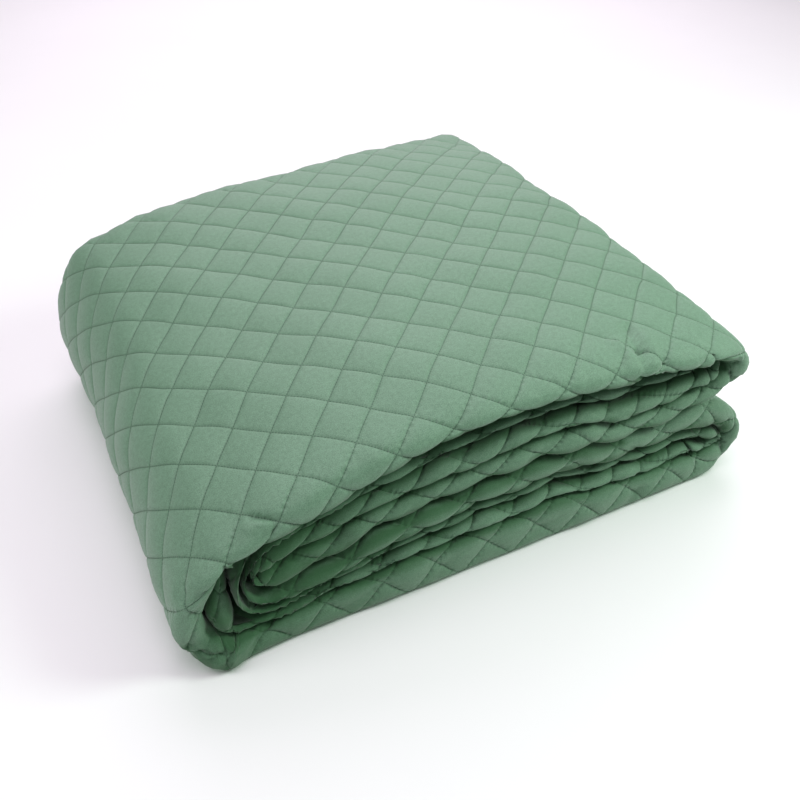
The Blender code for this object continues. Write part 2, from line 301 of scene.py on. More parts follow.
def section_at(place, depth):
    """The strip's section at arrays of places along it and depths: outer x, outer z, inner x, inner z."""
    out = np.zeros((4,) + place.shape)
    index = stretch_of(place)
    for k in range(len(STRIP)):
        here = index == k
        if here.any():
            out[:, here] = stretch_section(k, place[here] - k, depth[here])
    return out


def bands_at(place):
    """Outer share, outer back and inner back, for an array of places."""
    index = stretch_of(place)
    before = np.array([CROSSINGS[s.crossings[0]][2:] for s in STRIP])[index]
    after = np.array([CROSSINGS[s.crossings[-1]][2:] for s in STRIP])[index]
    share, outer_back, inner_back = (before + (after - before) * smooth(place - index)[:, None]).T
    for bulge in BULGES:
        near = bell(place - bulge.place, bulge.reach)
        share = share - bulge.share * near
        outer_back = outer_back - bulge.outer * near
        inner_back = inner_back - bulge.inner * near
    return share, outer_back, inner_back


class Strip:
    """Where each point of the flat cloth lies once it is folded."""

    LENGTH_DEPTHS = np.array([0.0, 0.06, 0.125, 0.25, 0.37, 0.5])
    MIDDLE_ROW = 3  # of LENGTH_DEPTHS
    PLACES = np.linspace(0, len(STRIP) - 1e-6, 60 * len(STRIP) + 1)
    STEP_ALONG, STEP_ACROSS = 0.004, 0.002
    # The zones of the ring round the strip, and their samples: c1 is the sheet behind the outer band, c0
    # the outer face, c3 the inner face and c2 the sheet behind the inner band.
    ZONES = ("c1", "outer_nose", "c0", "back_nose", "c3", "inner_nose", "c2")
    SAMPLES = (60, 45, 110, 45, 60, 45, 60)
    MOST_GAP = 0.2  # of a band, between the sheets of one crossing

    def __init__(self):
        self.measure_lengths()
        self.along = np.arange(ALONG[0] * HALF, ALONG[1] * HALF + self.STEP_ALONG, self.STEP_ALONG)
        self.across = np.arange(ACROSS[0] * HALF, ACROSS[1] * HALF + self.STEP_ACROSS, self.STEP_ACROSS)
        self.lay_rings()

    def measure_lengths(self):
        """For each of LENGTH_DEPTHS, the length along the outer face up to each of PLACES."""
        rows = []
        for depth in self.LENGTH_DEPTHS:
            x, z, _, _ = section_at(self.PLACES, np.full_like(self.PLACES, depth))
            lengths = np.concatenate([[0], np.cumsum(np.hypot(np.diff(x), np.diff(z)))])
            start, end = fold_x(COVER_RUN - 1, depth), fold_x(COVER_RUN + 1, depth)
            zero = COVER_RUN + (CROSSING_X - start) / (end - start)
            zero = np.interp(zero, self.PLACES, lengths)
            rows.append(lengths - zero)
        rows = np.array(rows)
        middle = rows[self.MIDDLE_ROW]
        # the free ends are straight, so the difference between depths fades out towards them
        last = self.PLACES[-1]
        before = np.interp(self.PLACES, [0, FIRST_EXACT], [0, 1])
        after = np.interp(self.PLACES, [LAST_EXACT, last], [1, 0])
        at = [np.argmin(abs(self.PLACES - p)) for p in (FIRST_EXACT, LAST_EXACT)]
        early = middle + (rows[:, at[0]] - middle[at[0]])[:, None] * before
        late = middle + (rows[:, at[1]] - middle[at[1]])[:, None] * after
        rows = np.where(self.PLACES < FIRST_EXACT, early, np.where(self.PLACES > LAST_EXACT, late, rows))
        # and the flat cloth ends exactly there
        low, high = rows[0, 0], rows[0, -1]
        rows = np.where(rows < 0, rows * ALONG[0] * HALF / low, rows * ALONG[1] * HALF / high)
        self.length_rows = rows

    def place_of(self, along, depth):
        found = np.array([np.interp(along, row, self.PLACES) for row in self.length_rows])
        k = np.clip(np.searchsorted(self.LENGTH_DEPTHS, depth, side="right") - 1, 0, len(found) - 2)
        lows, highs = self.LENGTH_DEPTHS[k], self.LENGTH_DEPTHS[k + 1]
        t = np.clip((depth - lows) / (highs - lows), 0, 1)
        each = np.arange(len(k))
        low, high = found[k, each], found[k + 1, each]
        return low + (high - low) * t

    def ring(self, place, front, rear):
        """The share of the thickness and the depth of each sample of the ring, at each station."""
        share, outer_front, inner_front, half_gap = (values[:, None] for values in front)
        low, high = share - half_gap, share + half_gap
        rear = rear[:, None]
        blunt = 1 - FLOOR_BLUNTING * between(place, *ON_FLOOR)[:, None]
        roll = NOSE + (LIP_ROLL - NOSE) * between(place, *ON_COVER)[:, None]
        parts = {
            "c1": lambda t: (low, rear + (outer_front + NOSE - rear) * t),
            "outer_nose": lambda t: (
                low * (1 + np.cos(np.pi * t)) / 2,
                outer_front + np.where(t < 0.5, NOSE, roll) * (1 - np.sin(np.pi * t) ** blunt)),
            "c0": lambda t: (0, outer_front + roll + (rear - outer_front - roll) * t),
            "back_nose": lambda t: ((1 - np.cos(np.pi * t)) / 2, rear + BACK_NOSE * np.sin(np.pi * t)),
            "c3": lambda t: (1, rear + (inner_front + NOSE - rear) * t),
            "inner_nose": lambda t: (
                1 - (1 - high) * (1 - np.cos(np.pi * t)) / 2,
                inner_front + NOSE * (1 - np.sin(np.pi * t))),
            "c2": lambda t: (high, inner_front + NOSE + (rear - inner_front - NOSE) * t),
        }
        grids = []
        for zone, count in zip(self.ZONES, self.SAMPLES):
            t = np.linspace(0, 1, count, endpoint=zone == self.ZONES[-1])[None, :]
            grids.append([np.broadcast_to(values, (len(place), count)) for values in parts[zone](t)])
        return (np.concatenate(grid, axis=1) for grid in zip(*grids))

    def lay_rings(self):
        """Lay the ring on the fold at each station, and read the grid of the flat cloth off it."""
        stations = len(self.along)
        front_place = self.place_of(self.along, np.zeros(stations))
        share, outer_back, inner_back = bands_at(front_place)
        nose_depth = np.full(stations, NOSE)
        ox, oz, ix, iz = section_at(self.place_of(self.along, nose_depth), nose_depth)
        wave = SWAY * np.sin(2.1 * front_place) + SWAY / 2 * np.sin(5.3 * front_place + 1.0)
        outer_front, inner_front = outer_back + wave, inner_back + wave
        back = curve_through(BACK_X, BACKS, ox) - BACK_NOSE - wave
        half_gap = np.minimum(SHEET_GAP / 2 / np.hypot(ox - ix, oz - iz),
                              self.MOST_GAP * np.minimum(share, 1 - share))
        share_grid, depth_grid = self.ring(front_place, (share, outer_front, inner_front, half_gap), back)
        zones = np.repeat(np.arange(len(self.ZONES)), self.SAMPLES)
        names = np.array(self.ZONES)[zones]
        shape = (stations, len(zones))

        along_grid = np.repeat(self.along, len(zones))
        place = self.place_of(along_grid, depth_grid.ravel())
        ox, oz, ix, iz = (side.reshape(shape) for side in section_at(place, depth_grid.ravel()))
        points = np.stack(
            [ox + (ix - ox) * share_grid, depth_grid, oz + (iz - oz) * share_grid], axis=2)
        slack = 1 + SLACK * bell(front_place - SLACK_PLACE, SLACK_REACH)
        lip = (between(front_place, *ON_COVER) * slack)[:, None]
        droop = LIP_DROOP * lip * bell(depth_grid, LIP_DEPTH)
        across_band = unit(np.stack([ix - ox, 0 * ox, iz - oz], axis=2))
        under = np.isin(names, ("c1", "outer_nose"))[None, :]
        points += across_band * (droop * under * share_grid / share[:, None])[..., None]
        lengths = np.cumsum(np.linalg.norm(np.diff(points, axis=1), axis=2), axis=1)
        lengths = np.concatenate([np.zeros((stations, 1)), lengths], axis=1)
        face = names == "c0"
        anchor = [np.interp(FIRST_ROW + HALF, d[face], l[face]) for d, l in zip(depth_grid, lengths)]
        lengths = lengths - np.array(anchor)[:, None] + HALF

        # the back nose passes from the outer band's thickness to the inner band's
        outer_part = np.isin(names, ("c1", "outer_nose", "c0")).astype(float)
        turn = names == "back_nose"
        outer_part[turn] = np.linspace(1, 0, turn.sum())
        thick = np.hypot(ox - ix, oz - iz)
        outer_room, inner_room = thick * share[:, None], thick * (1 - share[:, None])
        band = inner_room + (outer_room - inner_room) * outer_part[None, :]

        samples = np.concatenate([points, depth_grid[..., None], band[..., None]], axis=2)
        laid = np.array([[np.interp(self.across, at, values) for values in row.T]
                         for at, row in zip(lengths, samples)])
        self.points = laid[:, :3].transpose(0, 2, 1).copy()
        self.depth, self.band = laid[:, 3], laid[:, 4]
        nearest = (np.clip(np.searchsorted(at, self.across), 0, len(zones) - 1) for at in lengths)
        self.zone = np.array([zones[at] for at in nearest])
        self.places = np.array([self.place_of(np.full_like(depth, along), depth)
                                for along, depth in zip(self.along, self.depth)])
        self.front = np.minimum(outer_front, inner_front)
        self.back = back + BACK_NOSE
        self.outer_nose, self.back_nose, self.inner_nose = (
            self.middle_of(zone) for zone in ("outer_nose", "back_nose", "inner_nose"))
        self.points[..., 0] -= ORIGIN_X
        self.points[..., 1] -= ORIGIN_DEPTH
        along_slope = np.gradient(self.points, self.STEP_ALONG, axis=0)
        across_slope = np.gradient(self.points, self.STEP_ACROSS, axis=1)
        self.normals = unit(np.cross(across_slope, along_slope))

    def middle_of(self, zone):
        """How far across the middle of a nose lies, at each station."""
        number = self.ZONES.index(zone)
        return np.array([self.across[row == number].mean() for row in self.zone])

    def noses(self, along):
        """How far across the middles of the outer and the inner nose lie."""
        return (np.interp(along, self.along, nose) for nose in (self.outer_nose, self.inner_nose))

    def read(self, table, along, across):
        """The table's value at points of the flat cloth, by straight-line interpolation."""
        i = np.clip((along - self.along[0]) / self.STEP_ALONG, 0, len(self.along) - 1.001)
        j = np.clip((across - self.across[0]) / self.STEP_ACROSS, 0, len(self.across) - 1.001)
        i0, j0 = i.astype(int), j.astype(int)
        a, b = i - i0, j - j0
        if table.ndim == 3:
            a, b = a[:, None], b[:, None]
        low = table[i0, j0] * (1 - b) + table[i0, j0 + 1] * b
        high = table[i0 + 1, j0] * (1 - b) + table[i0 + 1, j0 + 1] * b
        return low * (1 - a) + high * a

    def pick(self, table, along, across):
        """The nearest entry of a table."""
        i = np.rint((along - self.along[0]) / self.STEP_ALONG).astype(int)
        j = np.rint((across - self.across[0]) / self.STEP_ACROSS).astype(int)
        return table[np.clip(i, 0, len(self.along) - 1), np.clip(j, 0, len(self.across) - 1)]

    def zone_at(self, along, across):
        return np.array(self.ZONES)[self.pick(self.zone, along, across)]

    def along_of(self, crossing, x):
        """How far along the strip a crossing passes x, at the front."""
        index = [s.crossings for s in STRIP].index((crossing,), 1)
        start, end = fold_x(index - 1, 0.0), fold_x(index + 1, 0.0)
        place = index + (x - start) / (end - start)
        return float(np.interp(place, self.PLACES, self.length_rows[0]))


# ---------- Creases and puffs ----------

FULL_THICKNESS = 0.0045  # of the cloth between two stitch lines
FABRIC_MIN = 0.0006
BAND_SHARE = 0.42  # of the thickness of a band, for each of its two sheets
LINING_DEPTH = 0.0085  # from the face to the reverse, where there is room
EVEN_RISE, CHANCE_RISE = 0.85, 0.15  # of a puff: what every diamond has, and what chance adds
PINCH = 0.75  # how much deeper the stitches draw the cloth in along the edge of a band
PINCH_REACH = 0.012
CREASING = 1.25  # how strong the creases below are
PRESSED = 0.012  # below this height over the floor, the cloth is pressed flat

# Soft troughs, and ridges where the depth is negative, in millimetres: x and across of the one end and of
# the other, half the width, and the depth.  Across is counted from the first row of stitches of the outer
# face on a "face", and from the middle of the outer nose, towards the outer face, on a "nose".
CREASES = (
    # the long wrinkle of the cover, and the knot at the lip where it ends
    ("cover", "face", (449, 46, 440, 16, 3.4, 3), (440, 16, 434, -8, 3, 4),
     (426, 30, 426, -4, 5, -2.6), (455, 26, 448, -2, 5.5, -2.4), (462, 12, 456, -10, 2.8, 2.2)),
    ("cover", "nose", (428, -2, 452, -12, 2.8, 3.4), (436, -12, 462, -6, 3, 3),
     (424, -10, 446, -18, 3, -2.8)),
    # small wrinkles over the lip, further left
    ("cover", "face", (84, 8, 108, -4, 2.8, 2.4), (96, 16, 110, 2, 2.6, 2),
     (88, 14, 104, 4, 3, -1.2), (178, 12, 186, -6, 3, 1.6), (330, 10, 336, -6, 3, 1.4),
     (384, 14, 378, -6, 3, 1.6)),
    # the edge of the wrap on the left, and the crumpled corner under it
    ("cover", "face", (-50, 12, -22, -4, 3, 2.4)),
    ("cover", "nose", (-90, 18, -70, -6, 3.2, 1.8), (-120, 22, -100, 0, 3, 1.6)),
    ("base", "nose", (-100, 12, -80, -12, 3, 2.6), (-62, 20, -56, -10, 3, 3),
     (-34, 16, -12, -14, 2.8, 3), (-46, 8, -30, -10, 3.4, -2), (12, 14, 4, -14, 2.8, 2.8),
     (40, 12, 60, -12, 2.8, 2.4), (82, 2, 98, -14, 3, 2.2)),
    # the turn of the strip inside the wrap
    ("return", "nose", (44, 22, 56, 6, 2.8, 2.6), (64, 20, 70, 2, 2.8, 2.4), (0, 18, 12, 2, 2.8, 2.2),
     (100, 12, 112, -4, 3, 2)),
    # a corner of cloth that stands out of the recess
    ("flap", "nose", (150, -12, 166, 4, 3, 2.6), (160, -14, 172, 0, 3.4, -2.4),
     (118, -10, 128, 4, 3, 2.4)),
    # wrinkles on the fronts of the lower layers
    ("flap", "nose", (214, 8, 236, -6, 3, 1.8), (330, 6, 352, -6, 3, 1.8),
     (440, 8, 470, -4, 3, 2)),
    ("return", "nose", (196, -6, 222, 10, 3, 2), (268, 10, 284, -8, 3, 1.8),
     (352, -8, 384, 6, 3, 2), (436, 10, 452, -8, 3, 2.2)),
    ("base", "nose", (160, 10, 186, -2, 3, 2), (246, 14, 262, -2, 3, 2.2),
     (336, 12, 366, 2, 3, 1.8), (446, 18, 460, 2, 3, 3.2), (456, 16, 470, 6, 3.4, -2.2)),
    # the noses on the right
    ("cover", "nose", (640, 4, 672, -14, 2.8, 2.6), (676, 0, 706, -18, 2.8, 2.8),
     (700, 6, 726, -12, 3, 2.4)),
    ("flap", "nose", (640, 10, 652, -14, 2.8, 2.6)),
    ("base", "nose", (650, 4, 676, -12, 2.8, 2.8), (690, 8, 700, -12, 2.8, 2.6)),
    ("return", "nose", (640, 6, 660, -10, 2.8, 2.4)),
)

# How much painted shade the fronts of the layers get: all of them, further left, inside the wrap, and
# where they turn inwards.  Then where on x the left and the wrap are, and how far that reaches.
FRONT_SHADE, LEFT_SHADE, WRAP_SHADE, TURNED_SHADE = 0.27, 0.42, 0.5, 0.65
LEFT_X, LEFT_REACH = 0.05, 0.13
WRAP_X, WRAP_REACH = 0.06, 0.09
LIT_BELOW = 0.75  # how much less painted shade the nose on the floor gets underneath
# over how far the painted shade grows, in from the front or the back and round a nose, and where that
# starts
INWARDS, INWARDS_START = 0.012, 0.004
ROUND, ROUND_START = 0.013, 0.002
OUTER_PLACES = (2.0, 7.2)  # between these, the outer face lies open to the air
UNDER_COVER = (2.6, 4.4, 0.4)  # before the first place and after the second, and the fade of both
INSIDE_WRAP = (2.0, 7.3)  # before the first place and after the second
WRAP_FOLD, WRAP_FOLD_REACH = 4.55, 0.65  # where the wrap's own inner nose lies
DOWNWARD, DOWNWARD_FADE = 0.15, 0.95  # the rise of a normal below which a face gets painted shade
OUT_OF_SIGHT = 0.98  # with this much painted shade, the stitches can't be seen

# Waves over the cloth: how fast they run along and across, in radians a metre, then phase and size.
SLOW_WAVES = (
    (31.0, 17.0, 0.3, 0.0007), (-19.0, 43.0, 1.9, 0.0006),
    (67.0, -38.0, 4.1, 0.0005), (88.0, 81.0, 2.6, 0.0003),
)
SEAM_WAVES = (
    (61.0, 35.0, 0.8, 0.0004), (-47.0, 92.0, 2.9, 0.0003),
    (139.0, 71.0, 5.2, 0.00015), (-118.0, 163.0, 1.4, 0.0001),
)


def sum_of(waves, along, across, turn=0.0):
    return sum(size * np.sin(a * along + b * across + phase + turn) for a, b, phase, size in waves)


def cell_chance(a, b, salt):
    """A settled value between 0 and 1 for each diamond."""
    mixed = np.sin(a * 127.1 + b * 311.7 + salt * 74.7) * 43758.5453
    return mixed - np.floor(mixed)


class Quilt:
    """The flat cloth with its diamonds, laid on the folded strip."""

    def __init__(self, sizes):
        self.strip = Strip()
        self.rise = sizes.puff_height
        self.softness = sizes.puff_softness

    def relief(self, along, across):
        """How deep the cloth dips under the tops of its puffs."""
        u, v = (along + across) / DIAMOND, (along - across) / DIAMOND
        a, b = abs(np.sin(np.pi * u)), abs(np.sin(np.pi * v))
        pillow = (a * b) ** self.softness
        chance = cell_chance(np.floor(u), np.floor(v), 1)
        return self.rise * (1 - pillow * (EVEN_RISE + CHANCE_RISE * chance))

    def creases(self, along, across):
        depth = np.zeros_like(along)
        strip = self.strip
        outer, _ = strip.noses(along)
        for crossing, band, *rows in CREASES:
            local = across - outer if band == "nose" else across
            for x0, across0, x1, across1, width, deep in np.array(rows) / 1000:
                start = np.array([strip.along_of(crossing, x0), across0])
                span = np.array([strip.along_of(crossing, x1), across1]) - start
                t = ((along - start[0]) * span[0] + (local - start[1]) * span[1]) / (span @ span)
                away = np.hypot(along - start[0] - span[0] * np.clip(t, 0, 1),
                                local - start[1] - span[1] * np.clip(t, 0, 1))
                depth += CREASING * deep * bell(away, width)
        return depth

    def room(self, along, across, most=FULL_THICKNESS):
        """How thick the cloth may be here, with its neighbours in the stack."""
        band = self.strip.read(self.strip.band, along, across)
        return np.clip(BAND_SHARE * band, FABRIC_MIN, most)

    def painted_shade(self, along, across):
        """How much painted shade the cloth takes on, from 0 in the open to 1: more the further down in
        the folds it lies, under the cover, further left, inside the wrap, and on faces turned downwards.
        """
        strip = self.strip
        zone = strip.zone_at(along, across)
        place = strip.pick(strip.places, along, across)
        depth = strip.read(strip.depth, along, across)
        outer, inner = strip.noses(along)
        front, back, back_nose = (
            np.interp(along, strip.along, edge) for edge in (strip.front, strip.back, strip.back_nose))
        rise = unit(strip.read(strip.normals, along, across))[:, 2]
        outside = (zone == "c0") | (zone == "outer_nose") & (across > outer)
        outside |= (zone == "back_nose") & (across < back_nose)
        in_open = outside & (place > OUTER_PLACES[0]) & (place < OUTER_PLACES[1])
        # painted shade on faces turned downwards, round the turns of the noses, and in from the front and
        # the back
        underneath = smooth((DOWNWARD - rise) / DOWNWARD_FADE)
        underneath *= 1 - LIT_BELOW * between(place, *FLAT_ON_FLOOR)
        from_nose = abs(across - np.where(zone == "inner_nose", inner, outer))
        turned = np.where(in_open, 0.0, TURNED_SHADE * smooth((from_nose - ROUND_START) / ROUND))
        behind = np.minimum(depth - front, back - depth)
        deep = np.where(in_open, 0.0, smooth((behind - INWARDS_START) / INWARDS))
        # painted shade: the layers under the cover see less light, and least where the cover wraps round
        # them
        x = strip.read(strip.points, along, across)[:, 0] + ORIGIN_X
        before, after, fade = UNDER_COVER
        under_cover = smooth((place - after) / fade) + smooth((before - place) / fade)
        wrapped = (place > INSIDE_WRAP[1]) | (place < INSIDE_WRAP[0])
        wrapped |= (zone == "inner_nose") & (abs(place - WRAP_FOLD) < WRAP_FOLD_REACH)
        dim = (FRONT_SHADE + LEFT_SHADE * bell(x - LEFT_X, LEFT_REACH)) * under_cover
        dim += WRAP_SHADE * wrapped * bell(x - WRAP_X, WRAP_REACH)
        nose = np.isin(zone, ("outer_nose", "inner_nose"))
        return np.clip(np.maximum(np.where(nose, np.maximum(underneath, turned) + dim, 0.0), deep), 0, 1)

    def surface(self, along, across, lift=0.0):
        """Points on the face of the cloth, and the normals of the fold under them."""
        strip = self.strip
        a = along + sum_of(SEAM_WAVES, along, across)
        b = across + sum_of(SEAM_WAVES, along, across, 2.0)
        a = np.clip(a, ALONG[0] * HALF, ALONG[1] * HALF)
        b = np.clip(b, ACROSS[0] * HALF, ACROSS[1] * HALF)
        points, normals = strip.read(strip.points, a, b), unit(strip.read(strip.normals, a, b))
        share = self.room(a, b) / FULL_THICKNESS
        outer, inner = strip.noses(a)
        pinch = 1 + PINCH * (bell(b - outer, PINCH_REACH) + bell(b - inner, PINCH_REACH))
        dip = self.relief(along, across) * share * pinch + self.creases(a, b)
        dip += sum_of(SLOW_WAVES, a, b) * share
        dip *= smooth(points[:, 2] / PRESSED)
        points = points - normals * (dip - lift)[:, None]
        points[:, 2] = np.maximum(points[:, 2], 0.0)
        return points, normals

    def lining(self, along, across):
        """Points on the reverse of the cloth."""
        strip = self.strip
        normals = unit(strip.read(strip.normals, along, across))
        away = self.room(along, across, LINING_DEPTH)[:, None]
        return strip.read(strip.points, along, across) - normals * away

    # The mesh: each diamond is cut into a grid, finer near its stitches, and finest where it shows.
    CUTS = np.array([0, 0.03, 0.09, 0.19, 0.33, 0.5, 0.67, 0.81, 0.91, 0.97, 1.0])
    FULL = len(CUTS) - 1
    FINE, MIDDLING, COARSE, PLAIN = 1, 2, 5, 10
    SHOWING = 0.034  # nearer than this to the front, every layer shows
    BACK_SHOWING = 0.09  # and this near to the back, they show a little
    TOP_PLACES, BASE_PLACES = (2.0, 5.05), (5.9, 7.1)  # whose outer faces show, and show a little
    TONGUE_PLACE, TONGUE_SHOWING = 8.0, 0.1  # past this place, and this near to the front, a little too

    def diamonds(self):
        """{(a, b): step} for the diamonds that lie in the cloth, wholly or in part."""
        strip = self.strip
        cells = [
            (a, b)
            for a in range((ALONG[0] + ACROSS[0]) // 2 - 1, (ALONG[1] + ACROSS[1]) // 2 + 1)
            for b in range((ALONG[0] - ACROSS[1]) // 2 - 1, (ALONG[1] - ACROSS[0]) // 2 + 1)
            if ALONG[0] <= a + b + 1 <= ALONG[1] and ACROSS[0] <= a - b <= ACROSS[1]
        ]
        a, b = (np.array(cells, float) + 0.5).T
        along, across = (a + b) * HALF, (a - b) * HALF
        zone = strip.zone_at(along, across)
        depth = strip.pick(strip.depth, along, across)
        place = strip.pick(strip.places, along, across)

        def on(places):
            return (place > places[0]) & (place < places[1])

        shown = (zone == "c0") & on(self.TOP_PLACES)
        shown |= np.isin(zone, ("outer_nose", "inner_nose")) | (depth < self.SHOWING)
        middling = (zone == "c0") & ((depth > DEPTH - self.BACK_SHOWING) | on(self.BASE_PLACES))
        middling |= (zone == "c3") & (place > self.TONGUE_PLACE) & (depth < self.TONGUE_SHOWING)
        middling |= zone == "back_nose"
        steps = np.where(shown, self.FINE, np.where(middling, self.MIDDLING, self.COARSE))
        return dict(zip(cells, steps.tolist()))

    def faces(self):
        """Vertices as (u, v, side) and faces as lists of their numbers."""
        full = self.FULL
        steps = self.diamonds()
        numbers, vertices, faces = {}, [], []

        def inside(a, b, i, j):
            u, v = full * a + i, full * b + j
            return (full * ALONG[0] <= u + v <= full * ALONG[1]
                    and full * ACROSS[0] <= u - v <= full * ACROSS[1])

        def corner(side, a, b, i, j):
            """The number of the vertex at cut i, j of diamond a, b."""
            key = (side, full * a + i, full * b + j)
            if key not in numbers:
                numbers[key] = len(vertices)
                vertices.append((a + self.cut(i), b + self.cut(j), side))
            return numbers[key]

        for side in (0, 1):
            for a, b in steps:
                at_edge = not all(inside(a, b, i, j) for i in (0, full) for j in (0, full))
                step = self.step_of(steps, a, b, side)
                neighbours = {
                    "left": (a - 1, b), "right": (a + 1, b), "low": (a, b - 1), "high": (a, b + 1)}
                extra = {edge: self.stops(step, self.step_of(steps, *other, side))
                         for edge, other in neighbours.items()}
                for i, j in ((i, j) for i in range(0, full, step) for j in range(0, full, step)):
                    whole = self.loop(i, j, step, extra)
                    loop = [p for p in whole if inside(a, b, *p)] if at_edge else whole
                    if len(loop) < 3:
                        continue
                    cut = len(loop) < len(whole)
                    new = [[corner(side, a, b, *p) for p in loop]]
                    if cut and side == 0:
                        self.walls(faces, a, b, loop, corner)
                    if len(whole) > 4:
                        middle = np.mean(loop, axis=0) if cut else (i + step / 2, j + step / 2)
                        hub = len(vertices)
                        vertices.append((a + self.cut(middle[0]), b + self.cut(middle[1]), side))
                        new = [[hub, p, q] for p, q in zip(new[0], new[0][1:] + new[0][:1])]
                    faces.extend(new if side == 0 else [face[::-1] for face in new])
        return np.array(vertices), faces

    def cut(self, i):
        return float(np.interp(i, range(len(self.CUTS)), self.CUTS))

    def step_of(self, steps, a, b, side):
        """The step of a diamond's grid, or 0 where there is none.  The reverse is plain, apart from the
        hems, where it meets the face."""
        step = steps.get((a, b), 0)
        if side == 0 or step == 0:
            return step
        hem = not (ALONG[0] < a + b and a + b + 2 <= ALONG[1]
                   and ACROSS[0] <= a - b - 1 and a - b + 1 <= ACROSS[1])
        return step if hem else self.PLAIN

    def stops(self, own, other):
        """The cuts along an edge that only the neighbour has."""
        if other in (0, own):
            return ()
        return tuple(sorted(set(range(0, self.FULL + 1, other)) - set(range(0, self.FULL + 1, own))))

    def loop(self, i, j, step, extra):
        """The corners of one square of a diamond's grid, with its neighbours' stops."""
        k, l, full = i + step, j + step, self.FULL
        points = [(i, j)]
        if j == 0:
            points += [(m, 0) for m in extra["low"] if i < m < k]
        points.append((k, j))
        if k == full:
            points += [(full, m) for m in extra["right"] if j < m < l]
        points.append((k, l))
        if l == full:
            points += [(m, full) for m in reversed(extra["high"]) if i < m < k]
        points.append((i, l))
        if i == 0:
            points += [(0, m) for m in reversed(extra["left"]) if j < m < l]
        return points

    def walls(self, faces, a, b, loop, corner):
        """The narrow face of a hem, where the grid is cut from corner to corner."""
        for p, q in zip(loop, loop[1:] + loop[:1]):
            if p[0] != q[0] and p[1] != q[1]:
                faces.append([corner(side, a, b, *end) for side, end in ((0, q), (0, p), (1, p), (1, q))])

    def mesh(self, name):
        vertices, faces = self.faces()
        u, v, side = vertices.T
        along, across = (u + v) * HALF, (u - v) * HALF
        points, _ = self.surface(along, across)
        reverse = side == 1
        points[reverse] = self.lining(along[reverse], across[reverse])
        mesh = new_mesh(name, points, faces)
        corners = np.empty(len(mesh.loops), int)
        mesh.loops.foreach_get("vertex_index", corners)
        flat = np.stack([along[corners], across[corners]], axis=1)
        mesh.uv_layers.new(name="cloth").data.foreach_set("uv", flat.ravel())
        # the painted shade of each vertex, which the cloth's material mixes in
        layer = mesh.attributes.new("painted_shade", "FLOAT", "POINT")
        layer.data.foreach_set("value", self.painted_shade(along, across))
        return mesh


def new_mesh(name, points, faces):
    mesh = bpy.data.meshes.new(name)
    mesh.from_pydata(points.tolist(), [], faces)
    mesh.update()
    mesh.shade_smooth()
    return mesh


# ---------- Stitches ----------


class Stitching:
    """Running stitches along the edges of the diamonds that show, each a short raised bead of thread."""

    # place along the stitch, share of its width, and lift in widths of the thread
    RINGS = ((-0.5, 0.35, -0.55), (-0.22, 0.95, 0.30), (0.22, 0.95, 0.30), (0.5, 0.35, -0.55))
    SIDES = 4
    FLATNESS = 0.8
    WANDER = 0.06  # how far the stitches stray sideways

    def __init__(self, quilt, sizes):
        self.quilt = quilt
        self.sizes = sizes

    def centres(self, lean):
        """(along, across) of the middle of each stitch on the seams of one lean."""
        quilt, count = self.quilt, self.sizes.stitches_per_side
        found = []
        for (a, b), step in quilt.diamonds().items():
            if step != quilt.FINE:
                continue
            for t in ((m + 0.5) / count for m in range(count)):
                u, v = (a, b + t) if lean == "left" else (a + t, b)
                if ALONG[0] < u + v < ALONG[1] and ACROSS[0] < u - v < ACROSS[1]:
                    found.append(((u + v) * HALF, (u - v) * HALF))
        found = np.array(found)
        return found[quilt.painted_shade(*found.T) < OUT_OF_SIGHT]

    def mesh(self, name, lean):
        sizes = self.sizes
        along, across = self.centres(lean).T
        turn = math.radians(-45 if lean == "left" else 45)
        length = DIAMOND / math.sqrt(2) / sizes.stitches_per_side * sizes.stitch_share
        wander = self.WANDER * (cell_chance(along * 1e3, across * 1e3, 3) - 0.5)
        rings = []
        for at, width, lift in self.RINGS:
            a = along + math.cos(turn) * (at * length)
            b = across + math.sin(turn) * (at * length)
            rings.append((*self.quilt.surface(a, b, sizes.thread_width * lift), width))
        heading = unit(rings[-1][0] - rings[0][0])
        points = []
        for middle, normals, width in rings:
            sideways = np.cross(normals, heading)
            for k in range(self.SIDES):
                angle = 2 * math.pi * (k + 0.5) / self.SIDES
                away = sideways * math.cos(angle) + normals * (self.FLATNESS * math.sin(angle))
                radius = sizes.thread_width / 2 * width
                points.append(middle + (away + heading * wander[:, None]) * radius)
        stack = np.stack(points, axis=1)
        sides, last = self.SIDES, len(points) - self.SIDES
        quads = [[ring + k, ring + (k + 1) % sides, ring + sides + (k + 1) % sides, ring + sides + k]
                 for ring in range(0, last, sides) for k in range(sides)]
        quads += [list(range(sides))[::-1], list(range(last, last + sides))]
        base = np.arange(len(stack))[:, None, None] * len(points)
        faces = (np.array(quads)[None] + base).reshape(-1, 4)
        return new_mesh(name, stack.reshape(-1, 3), faces.tolist())


# ---------- Materials ----------


class Wire:
    """A socket, with the operators that shader maths needs."""

    def __init__(self, tree, socket):
        self.tree, self.socket = tree, socket

    def math(self, operation, *others):
        node = self.tree.nodes.new("ShaderNodeMath")
        node.operation = operation
        for slot, value in zip(node.inputs, (self, *others)):
            join(self.tree, slot, value)
        return Wire(self.tree, node.outputs[0])

    def __add__(self, other):
        return self.math("ADD", other)

    def __mul__(self, other):
        return self.math("MULTIPLY", other)

    def __sub__(self, other):
        return self.math("SUBTRACT", other)

    def __rsub__(self, other):
        return (self * -1.0) + other

    __radd__, __rmul__ = __add__, __mul__

    def sine(self):
        return self.math("SINE")

    def size(self):
        return self.math("ABSOLUTE")


def join(tree, slot, value):
    if isinstance(value, Wire):
        tree.links.new(value.socket, slot)
    else:
        slot.default_value = value


